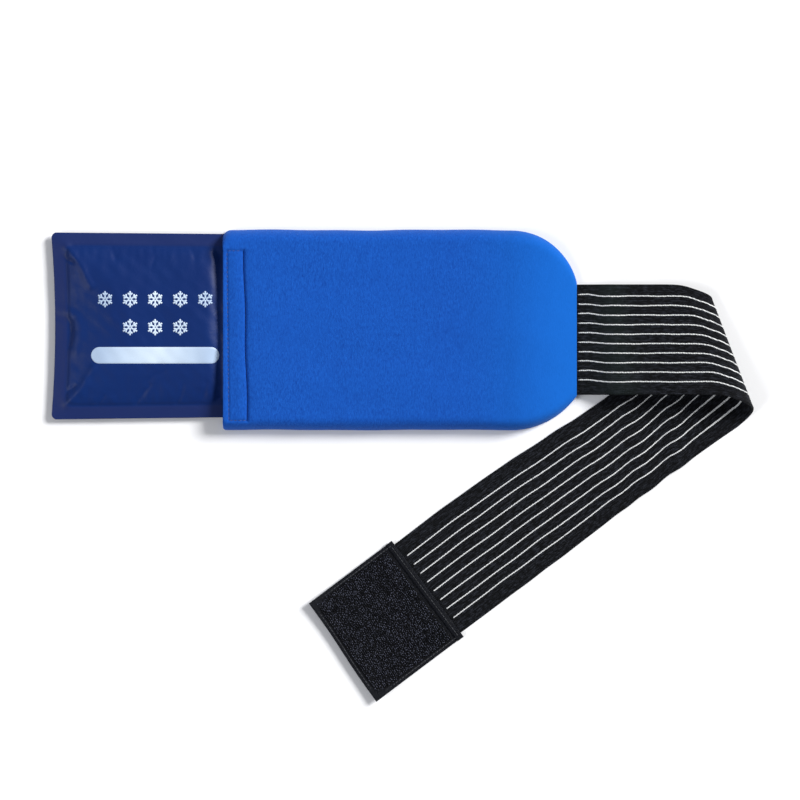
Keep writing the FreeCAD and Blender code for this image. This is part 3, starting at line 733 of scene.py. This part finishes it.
def front_level(x, y):
    """The height of the front's face at places well inside its edges."""
    low, high = sleeve_edges(x)
    crown = crown_of((y - low - PLUSH / 2) / (high - low - PLUSH) * 2 - 1, (high - low) / 2)
    middle = FRONT_FOOT + (crest_of(x) - PLUSH / 2 - FRONT_FOOT) * crown + closure_marks(x, y, crown)
    return middle + PLUSH / 2


blue_thread = spun_thread("spun_polyester_thread_blue", "#0E2F74", "#1C4C9C", 1.2)
way = np.linspace(0, 1, 160)
rows = []
y = STRIP_LOW + (STRIP_HIGH - STRIP_LOW) * way
for line in (seam_line, mouth_line):
    rows.append((line(y), y))
for y in (STRIP_LOW, STRIP_HIGH):
    rows.append((mouth_line(y) + (seam_line(y) - mouth_line(y)) * way, y + 0 * way))
closure_stitches = []
for x, y in rows:
    slope_x = front_level(x + 0.5, y) - front_level(x - 0.5, y)
    slope_y = front_level(x, y + 0.5) - front_level(x, y - 0.5)
    closure_stitches += lockstitches(xyz(x, y, front_level(x, y)), unit(xyz(-slope_x, -slope_y, 1)))
box_stitches = object_from("mouth_lockstitches", *join(closure_stitches), blue_thread)
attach(box_stitches, "sleeve")
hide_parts("mouth_stitching")

# --- Elastic strap ---
# Knitted black elastic, 75 mm wide, its tail sewn between the plies. It climbs to a slanted crease, turns
# under itself and comes back along the table with its reverse side up. Fine ribs run along it, and its edges
# are beaded.
STRAP = 1.3
STRAP_WIDE = 75.0
STRAP_Y = -6.6
TAIL_X = 106.0
ROOT_X, ROOT_Z = 120.6, 2.55
CREASE_X = 215.5
CREASE = math.radians(18.9)
ACROSS = np.array([math.cos(CREASE), math.sin(CREASE), 0])
ALONG = np.array([-math.sin(CREASE), math.cos(CREASE), 0])
UP = np.array([0, 0, 1.0])
BACK_TURN = math.radians(36.9)
OUT = np.array([-math.cos(BACK_TURN), -math.sin(BACK_TURN), 0])
SIDE = np.array([math.sin(BACK_TURN), -math.cos(BACK_TURN), 0])
HEM = np.array([18.6, -176.0, 0.0])
PATCH_LONG = 72.0
PATCH_CURL = 2.2
CREASE_FLAT = 6.0
# each wave's height, its place along the strap, its lean and its width
BACK_WAVES = ((2.2, 0.17, 0.10, 0.034), (1.8, 0.30, 0.06, 0.037), (1.2, 0.43, -0.05, 0.04),
              (0.7, 0.62, 0.08, 0.05), (0.5, 0.80, -0.04, 0.05))


def crease_radius(share):
    """Half the height of the crease's loop, tight at the upper edge and open at the lower one."""
    return 4.0 + 7.0 * share


def loop_reach(share):
    """How far the loop stands out past the crease's line."""
    return 5.0 + 2.3 * share


def slip_width(share):
    """How far ahead of the crease the elastic begins to slide."""
    return 11.0 - share


def crease_slip(share, short_of):
    """How far the elastic has slid down the crease, this far short of the loop's outer line."""
    return (6.5 + 1.7 * share) * hump(short_of, slip_width(share))


def crease_middle(share, turn):
    """The strap's mid surface round the crease, at a turn from 0 on top to pi underneath."""
    radius = crease_radius(share)
    off = (share - 0.5) * STRAP_WIDE
    centre = xyz(CREASE_X + off * math.tan(CREASE), STRAP_Y - off, STRAP / 2 + radius)
    outer = loop_reach(share)
    across = outer + CREASE_FLAT
    rounded = centre + ACROSS * (across * np.sin(turn) - CREASE_FLAT)[..., None]
    rounded = rounded + UP * (radius * np.cos(turn))[..., None]
    flat_run = np.where(turn < math.pi / 2, np.sin(turn) - 1, 1 - np.sin(turn))
    travel = math.tan(CREASE) * ((radius + outer) / 2 * turn + CREASE_FLAT * flat_run)
    # it goes on sliding as it turns, at the rate that it came up with, and stops underneath
    slid = crease_slip(share, across) * (1 + (across / slip_width(share)) ** 2 * (turn + np.sin(turn)))
    return rounded - ALONG * (travel + slid)[..., None]


def strap_middle(place, share):
    """The strap's mid surface. Place runs 0 to 1 through the anchor, 1 to 2 to the crease, 2 to 4 round it,
    4 to 5 back to the hem and 5 to 6 under the patch. Share runs across it, 0 at the upper edge."""
    place, share = np.broadcast_arrays(np.asarray(place, float), np.asarray(share, float))
    side_y = STRAP_Y - (share - 0.5) * STRAP_WIDE
    anchor = xyz(TAIL_X + np.clip(place, 0, 1) * (ROOT_X - TAIL_X), side_y, ROOT_Z)
    near = np.clip(place - 1, 0, 1)
    crest_x = CREASE_X + (share - 0.5) * STRAP_WIDE * math.tan(CREASE) - CREASE_FLAT / math.cos(CREASE)
    climb = 1 - (1 - near) ** 1.7
    # the slack elastic humps up a little past the seam, and quivers on its way to the crease
    slack_hump = 2.6 * hump(near - 0.27, 0.11) * np.clip(near / 0.08, 0, 1)
    quiver = 0.3 * np.sin(near * 17 + share * 3) * near * (1 - near)
    x = ROOT_X + (crest_x - ROOT_X) * near
    z = ROOT_Z + (STRAP / 2 + 2 * crease_radius(share) - ROOT_Z) * climb + slack_hump + quiver
    rising = xyz(x, side_y, z)
    short_of = (crest_x - x) * math.cos(CREASE) + CREASE_FLAT + loop_reach(share)
    rising = rising - ALONG * crease_slip(share, short_of)[..., None]
    folding = crease_middle(share, np.clip(place - 2, 0, 2) * math.pi / 2)
    way = np.clip(place - 4, 0, 1)
    start = crease_middle(share, np.full(share.shape, math.pi))
    start[..., 2] = 0
    end = HEM + SIDE * ((share - 0.5) * STRAP_WIDE)[..., None]
    chord = end - start
    sideways = unit(xyz(-chord[..., 1], chord[..., 0], 0))
    # it leaves the crease in a shallow bow, and runs straight by the hem
    bow = (9.2 - 10.4 * share) * way * (1 - way) ** 3 / (0.25 * 0.75**3)
    # soft waves cross it past the crease, where the elastic hasn't settled, and swing its lines sideways
    waves, swing = 0.0, 0.0
    for height, middle, lean, width in BACK_WAVES:
        off = (way - middle - lean * (share - 0.5)) / width
        waves = waves + height * np.exp(-(off**2))
        swing = swing - 0.55 * height * off * np.exp(-(off**2))
    settled = np.sqrt(np.clip(way * 8, 0, 1) * np.clip((1 - way) * 8, 0, 1))
    back = start + chord * way[..., None] + sideways * (bow + swing * settled)[..., None]
    back[..., 2] = STRAP / 2 + waves * settled
    under = end + OUT * (np.clip(place - 5, 0, 1) * PATCH_LONG)[..., None]
    under[..., 2] = STRAP / 2 + PATCH_CURL * np.clip(place - 5, 0, 1) ** 3
    choices = [place < 1, place < 2, place < 4, place < 5]
    return np.select([choice[..., None] for choice in choices], [anchor, rising, folding, back], under)


def strap_frame(place, share):
    """Points of the strap's mid surface, and their directions to its lower side and out of its face."""
    small = 1e-3
    place, share = np.broadcast_arrays(np.asarray(place, float), np.asarray(share, float))
    middle = strap_middle(place, share)
    forward = unit(strap_middle(place + small, share) - strap_middle(place - small, share))
    lower = strap_middle(place, share + small) - strap_middle(place, share - small)
    face = unit(np.cross(lower, forward))
    return middle, np.cross(forward, face), face


def knitted_elastic():
    """Knitted polyester and rubber elastic, dyed black: matte ribs along it, with a fine cross-laid inlay."""
    made, tree = start_material("knitted_black_elastic")
    # the attribute holds mm along the strap, mm across it, and how near it is to the hump past the seam,
    # where a sheen is painted
    spot = add(tree, "Attribute", attribute_name="knit").outputs["Vector"]
    # ribs 1.5 mm apart, drawn coarser than the real 0.8 mm so that they show
    ribs = add(
        tree, "TexWave", Vector=spot, Scale=0.21, Distortion=1.6, Detail=2.0, Detail_Scale=3.0,
        bands_direction="Y",
    ).outputs["Fac"]
    # courses of the knit, 0.7 mm apart
    courses = add(
        tree, "TexWave", Vector=spot, Scale=0.45, Distortion=3.0, Detail=2.0, Detail_Scale=2.0,
        bands_direction="X",
    ).outputs["Fac"]
    # lint and wear in flecks about 2 mm long
    stretched = add(tree, "Mapping", Vector=spot, Scale=(0.35, 1.15, 1.0))
    flecks = add(tree, "TexNoise", Vector=stretched, Scale=0.65, Detail=3.0, Roughness=0.6)
    cloud = add(tree, "TexNoise", Vector=spot, Scale=0.045, Detail=3.0)
    knit = add(tree, "Math", [(0, ribs), (1, 0.5), (2, courses)], operation="MULTIPLY_ADD")
    height = add(tree, "Math", [(0, flecks), (1, 0.9), (2, knit)], operation="MULTIPLY_ADD")
    shade = add(tree, "ValToRGB", tones=((0.45, "#000104"), (0.66, "#33363F")), Fac=flecks)
    clouded = add(tree, "Math", [(0, cloud), (1, 0.8)], operation="MULTIPLY")
    mottled = add(tree, "Mix", [(0, clouded), (6, shade), (7, "#07080D")], data_type="RGBA")
    # painted shade and highlight: the colour is darkened in the grooves between the ribs and lightened on
    # their crests
    rib_painted_shade = add(tree, "MapRange", Value=ribs, To_Min=0.5, To_Max=1.15)
    ribbed_with_painted_shade = add(tree, "Mix", [(0, 1.0), (6, mottled), (7, rib_painted_shade)], data_type="RGBA", blend_type="MULTIPLY")
    # painted sheen: on the hump just past the sleeve the colour is painted a lighter green grey, where the
    # elastic catches the light
    parts = add(tree, "SeparateXYZ", Vector=spot)
    painted_sheen_share = add(tree, "Math", [(0, parts.outputs["Z"]), (1, 0.45)], operation="MULTIPLY")
    colour_with_painted_sheen = add(tree, "Mix", [(0, painted_sheen_share), (6, ribbed_with_painted_shade), (7, "#1D2826")], data_type="RGBA")
    return finish_material(
        made, height, 0.8, 0.0005, Base_Color=colour_with_painted_sheen, Roughness=0.7, Specular_IOR_Level=0.1, Sheen_Weight=0.03,
        Sheen_Roughness=0.5,
    )


elastic = knitted_elastic()
share_lines = lines(0, 1, 0.014, STRAP / 2 / STRAP_WIDE)


def elastic_length(name, first, last, count):
    """One length of the strap between two places, and how long it is in mm."""
    places = np.linspace(first, last, count)
    s, t = np.meshgrid(places, share_lines, indexing="ij")
    middle, _, face = strap_frame(s, t)
    # a bead runs along each edge
    bead = 1 + 0.22 * (hump(t * STRAP_WIDE - 1.0, 0.7) + hump((1 - t) * STRAP_WIDE - 1.0, 0.7))
    half = STRAP / 2 * swell(share_lines, STRAP / 2 / STRAP_WIDE)[None] * bead
    top, bottom = middle + face * half[..., None], middle - face * half[..., None]
    steps = np.linalg.norm(np.diff(middle[:, len(share_lines) // 2], axis=0), axis=1)
    run = np.concatenate([[0], np.cumsum(steps)])
    # its third number is where the sheen painted past the seam lies
    knit = xyz(run[:, None] + first * 100, t * STRAP_WIDE, hump(s - 1.28, 0.14))
    return tube_sheet(name, top, bottom, elastic, {"knit": knit}), run[-1]


def tube_sheet(name, top, bottom, material, values):
    """A flat tube from two grids whose points meet along the two long edges, closed at both ends."""
    rows, columns = top.shape[:2]
    above = np.arange(rows * columns).reshape(rows, columns)
    below = above.copy()
    below[:, 1:-1] = rows * columns + np.arange(rows * (columns - 2)).reshape(rows, columns - 2)
    points = np.concatenate([top.reshape(-1, 3), bottom[:, 1:-1].reshape(-1, 3)])
    faces = squares(above)[:, ::-1].tolist() + squares(below).tolist()
    for row, step in ((0, 1), (-1, -1)):
        over, beneath = above[row], below[row]
        for k in range(columns - 1):
            face = [over[k], over[k + 1], beneath[k + 1], beneath[k]]
            face = [corner for place, corner in enumerate(face) if corner not in face[:place]]
            faces.append(face[::step])
    spread = {
        label: np.concatenate([numbers.reshape(-1, 3), numbers[:, 1:-1].reshape(-1, 3)])
        for label, numbers in values.items()
    }
    made = object_from(name, points, faces, material, spread)
    made.data.set_sharp_from_angle(angle=math.radians(70))
    return made


# the elastic turns over the last part of each quarter, which the tight upper edge sets
TIGHT_TURN = (crease_radius(0.0) + loop_reach(0.0) + CREASE_FLAT) / math.sqrt(2)


def crease_plane(last_turn, way, early=0.0):
    """Where the strap begins and ends its turn in one quarter of the crease, on the way given."""
    end = crease_middle(np.array([0.5]), np.array([last_turn]))[0]
    return tuple((end - way * TIGHT_TURN) * MM), tuple((end - way * early) * MM)


# where each length of strap begins and ends its turn from one body to the next, in metres
ROOT_START, ROOT_END = (0.1199, -0.0066, 0.0026), (0.1215, -0.0066, 0.0026)
UPPER_START, UPPER_END = crease_plane(math.pi / 2, unit(ACROSS - UP), 1.7)
LOWER_START, LOWER_END = crease_plane(math.pi, unit(-ACROSS - UP))
HEM_START, HEM_END = tuple((HEM - OUT * 1.6) * MM), tuple((HEM + OUT * 0.8) * MM)
# the places where the lengths meet, past the seam and halfway back
ROOT_PLACE, FAR_PLACE = 1.2, 4.6

# --- White yarns ---
# Two-ply white polyester, laid in as the elastic is knitted: ten lines on its face and eight on its reverse.
FACE_SHARES = [0.100 + 0.0861 * number for number in range(10)]
REVERSE_SHARES = [0.150 + 0.1 * number for number in range(8)]
YARN_WIDE, YARN_HIGH, YARN_STEP = 0.46, 0.32, 0.75


def yarn(share, first, last, side_sign, seed):
    """One yarn on the face (side_sign 1) or the reverse (-1), between two places."""
    draw = random.Random(seed)
    middle, *_ = strap_frame(np.linspace(first, last, 60), np.full(60, share))
    count = max(8, int(np.linalg.norm(np.diff(middle, axis=0), axis=1).sum() / YARN_STEP))
    places = np.linspace(first, last, count)
    phase = draw.uniform(0, math.tau)
    drift = 0.0020 * np.sin(places * 15 + phase) + 0.0008 * np.sin(places * 37 + 2 * phase)
    # the yarns step sideways a little just past the seam
    step_over = 0.016 * np.clip((places - 1.09) / 0.12, 0, 1) - 0.008
    shares = share + drift + np.where(places < 3, step_over, 0.008 * (side_sign > 0))
    middle, lower, face = strap_frame(places, shares)
    ply = np.arange(count) * math.pi * 0.55 + phase
    sway = lower * (0.07 * np.sin(ply))[:, None]
    # the face lies against the table past the crease, which presses its yarns into the knit
    pressed = 0.14 * np.clip((places - 3.7) / 0.3, 0, 1) * (side_sign > 0)
    lift = STRAP / 2 + 0.04 - pressed + 0.06 * np.cos(ply)
    path = middle + face * (side_sign * lift)[:, None] + sway
    # three lines are drawn up thick on the reverse beside the crease
    thick = 1 + 0.55 * np.clip((4.12 - places) / 0.08, 0, 1) * (side_sign < 0 and share > 0.6)
    uneven = np.array([draw.uniform(0.4, 1.3) for _ in range(count)])
    thin = 0.92 * thick + 0.14 * np.sin(ply * 1.3 + 1) * uneven
    return tube(path, lower, face, YARN_WIDE * thin, YARN_HIGH * thin)


def yarns(name, runs):
    """All the yarns on one length of strap. Runs are (shares, first, last, side)."""
    tubes = []
    for shares, first, last, side_sign in runs:
        for number, share in enumerate(shares):
            tubes.append(yarn(share, first, last, side_sign, 100 + number))
    return object_from(name, *join(tubes), white_yarn)


white_yarn = spun_thread("two_ply_polyester_yarn_white", "#B2B4B6", "#F6F7F5", 0.9)
root_length, root_run = elastic_length("strap_root_elastic", 0.0, ROOT_PLACE, 42)
near_length, near_run = elastic_length("strap_near_elastic", ROOT_PLACE, 3.0, 110)
far_length, far_run = elastic_length("strap_far_elastic", 3.0, FAR_PLACE, 150)
tip_length, tip_run = elastic_length("strap_tip_elastic", FAR_PLACE, 5.965, 150)
near_yarns = yarns("near_yarn_lines", ((FACE_SHARES, 1.004, 3.0, 1), (REVERSE_SHARES, 1.004, 3.0, -1)))
far_yarns = yarns("far_yarn_lines", ((FACE_SHARES, 3.0, FAR_PLACE, 1), (REVERSE_SHARES, 3.0, FAR_PLACE, -1)))
tip_yarns = yarns("tip_yarn_lines", (
    (FACE_SHARES, FAR_PLACE, 5.95, 1), (REVERSE_SHARES, FAR_PLACE, 4.99, -1),
))
for band, run, band_yarns, nodes, bodies, ends in (
    (root_length, root_run, None, ("strap_anchor",), ("sleeve", "strap_near"), (ROOT_START, ROOT_END)),
    (near_length, near_run, near_yarns, ("strap_near_band", "fold_upper_quarter"), ("strap_near", "fold_mid"),
     (UPPER_START, UPPER_END)),
    (far_length, far_run, far_yarns, ("fold_lower_quarter",), ("fold_mid", "strap_far"),
     (LOWER_START, LOWER_END)),
    (tip_length, tip_run, tip_yarns, ("strap_far_band", "strap_end_band"), ("strap_far", "strap_tip"),
     (HEM_START, HEM_END)),
):
    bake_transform(band)
    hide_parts(*nodes)
    if band_yarns is not None:
        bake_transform(band_yarns)
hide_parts("near_face_yarns", "near_reverse_yarns")
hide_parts("far_reverse_yarns")

# --- Anchor stitching ---
# Two rows of lockstitch hold the strap's tail between the plies.
tail_stitches = []
for row_x in (110.65, 114.15):
    y = np.linspace(STRAP_Y - STRAP_WIDE / 2 + 2, STRAP_Y + STRAP_WIDE / 2 - 2, 60)
    tail_stitches += lockstitches(xyz(row_x, y, ROOT_Z + STRAP / 2), np.tile(UP, (60, 1)), radius=0.24)
anchor_stitches = object_from("anchor_lockstitches", *join(tail_stitches), blue_thread)
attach(anchor_stitches, "sleeve")
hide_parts("anchor_stitching")

# --- Hook patch: backing, hem and field of hooks ---
# Black moulded nylon hook tape on a smooth backing, sewn across the strap's end, with a hem turned over at
# the strap side.
BACKING_BASE = 1.35
BACKING = 0.6
FIELD_BASE = BACKING_BASE + BACKING
PATCH_HALF = 40.5


def on_patch(along, side, level):
    """Points from mm along and across the patch, which is cut out of square and curls up at its free end."""
    level = level + PATCH_CURL * np.clip(along / PATCH_LONG, 0, 1) ** 3
    along = along * (1 + 0.026 * side / PATCH_HALF) + 0.3 * np.sin(side / 11.0) * along / PATCH_LONG
    spots = HEM + OUT * along[..., None] + SIDE * side[..., None]
    spots[..., 2] = level
    return spots


def patch_sheet(name, along_ends, half_wide, base, thick, material, lift=0.0):
    """A rounded flat sheet on the patch. Lift raises its free corners a little."""
    along = lines(*along_ends, 1.2, thick / 2)
    side = lines(-half_wide, half_wide, 1.2, thick / 2)
    s, t = np.meshgrid(along, side, indexing="ij")
    corner = np.clip(s / PATCH_LONG, 0, 1) ** 4 * np.abs(t / PATCH_HALF) ** 3
    middle = on_patch(s, t, base + thick / 2 + lift * corner + 0.05 * np.abs(soft_noise(s, t, 22.0, 31)))
    return cloth(name, middle, plump(along, side, thick), material)


hook_backing = fastening_tape("woven_nylon_backing_black", "#030408", "#0E1017", 0.6, shine=0.1)
# the hooks' pale grey specks are painted glints, standing in for light caught on the hook curls
hooks_with_painted_glints = fastening_tape("moulded_nylon_hooks_black", "#010207", "#666A7C", 0.7, 0.35, 0.12, (0.85, 1.15))
field_black = fastening_tape("woven_nylon_hook_base_black", "#010103", "#06070B", 0.7, shine=0.08)
backing = patch_sheet(
    "patch_backing_tape", (0.0, PATCH_LONG), PATCH_HALF, BACKING_BASE, BACKING, hook_backing, 0.9,
)
hem = patch_sheet("patch_folded_hem", (-0.3, 4.7), PATCH_HALF + 0.3, FIELD_BASE, 0.8, hook_backing)
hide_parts("patch_backing")
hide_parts("patch_hem")

# hooks stand 1.4 mm tall, 1.35 mm apart, and curl over either way
HOOK_PITCH = 1.35
HOOK_SHAPE = np.array([(0, -0.2), (0.05, 0.7), (0.3, 1.15), (0.7, 0.95)])
HOOK_WIDE, HOOK_THICK = np.array([0.3, 0.22, 0.2, 0.1]), 0.2
FIELD_NEAR, FIELD_FAR, FIELD_HALF = 7.2, 68.0, 36.6
draw = random.Random(7)
hooks = []
for row in range(int((FIELD_FAR - FIELD_NEAR) / HOOK_PITCH)):
    for column in range(int(2 * FIELD_HALF / HOOK_PITCH)):
        along = FIELD_NEAR + (row + 0.5) * HOOK_PITCH + draw.uniform(-0.3, 0.3)
        side = -FIELD_HALF + (column + 0.5 * (row % 2) + 0.25) * HOOK_PITCH + draw.uniform(-0.3, 0.3)
        lean = draw.uniform(0, math.tau)
        tall = draw.uniform(0.9, 1.25)
        curl = HOOK_SHAPE * tall
        flat_way = OUT * math.cos(lean) + SIDE * math.sin(lean)
        foot = on_patch(np.array(along), np.array(side), FIELD_BASE + 0.05)
        path = foot + flat_way * curl[:, :1] + UP * curl[:, 1:]
        forward = unit(np.gradient(path, axis=0))
        level = np.tile(np.cross(UP, flat_way), (4, 1))
        hooks.append(tube(path, level, np.cross(forward, level), HOOK_WIDE, HOOK_THICK, 4))
hook_nap = object_from("patch_hook_nap", *join(hooks), hooks_with_painted_glints)
field = patch_sheet("patch_hook_base", (6.6, 68.6), FIELD_HALF + 0.6, FIELD_BASE - 0.1, 0.5, field_black)
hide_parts("hook_field")

# --- Patch stitching ---
# Black lockstitch round the field and along the hem.
black_thread = spun_thread("spun_polyester_thread_black", "#0E0F13", "#33363C", 1.2)
patch_stitches = []
frame_corners = [(2.4, -38.2), (69.8, -38.2), (69.8, 38.2), (2.4, 38.2), (2.4, -38.2)]
for (a_along, a_side), (b_along, b_side) in zip(frame_corners, frame_corners[1:]):
    way = np.linspace(0, 1, 80)
    along, side = a_along + (b_along - a_along) * way, a_side + (b_side - a_side) * way
    level = FIELD_BASE + 0.12 + np.where(along < 4.7, 0.75, 0.0)
    patch_stitches += lockstitches(on_patch(along, side, level), np.tile(UP, (80, 1)), 2.6, 0.26)
border_stitches = object_from("patch_lockstitches", *join(patch_stitches), black_thread)
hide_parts("patch_stitching")
for piece, slot in ((backing, "hook_tape_black"), (hem, "hook_tape_black"), (hook_nap, "hook_tape_black"),
                    (field, "hook_tape_black"), (border_stitches, "sewing_thread")):
    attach(piece, "strap_tip")
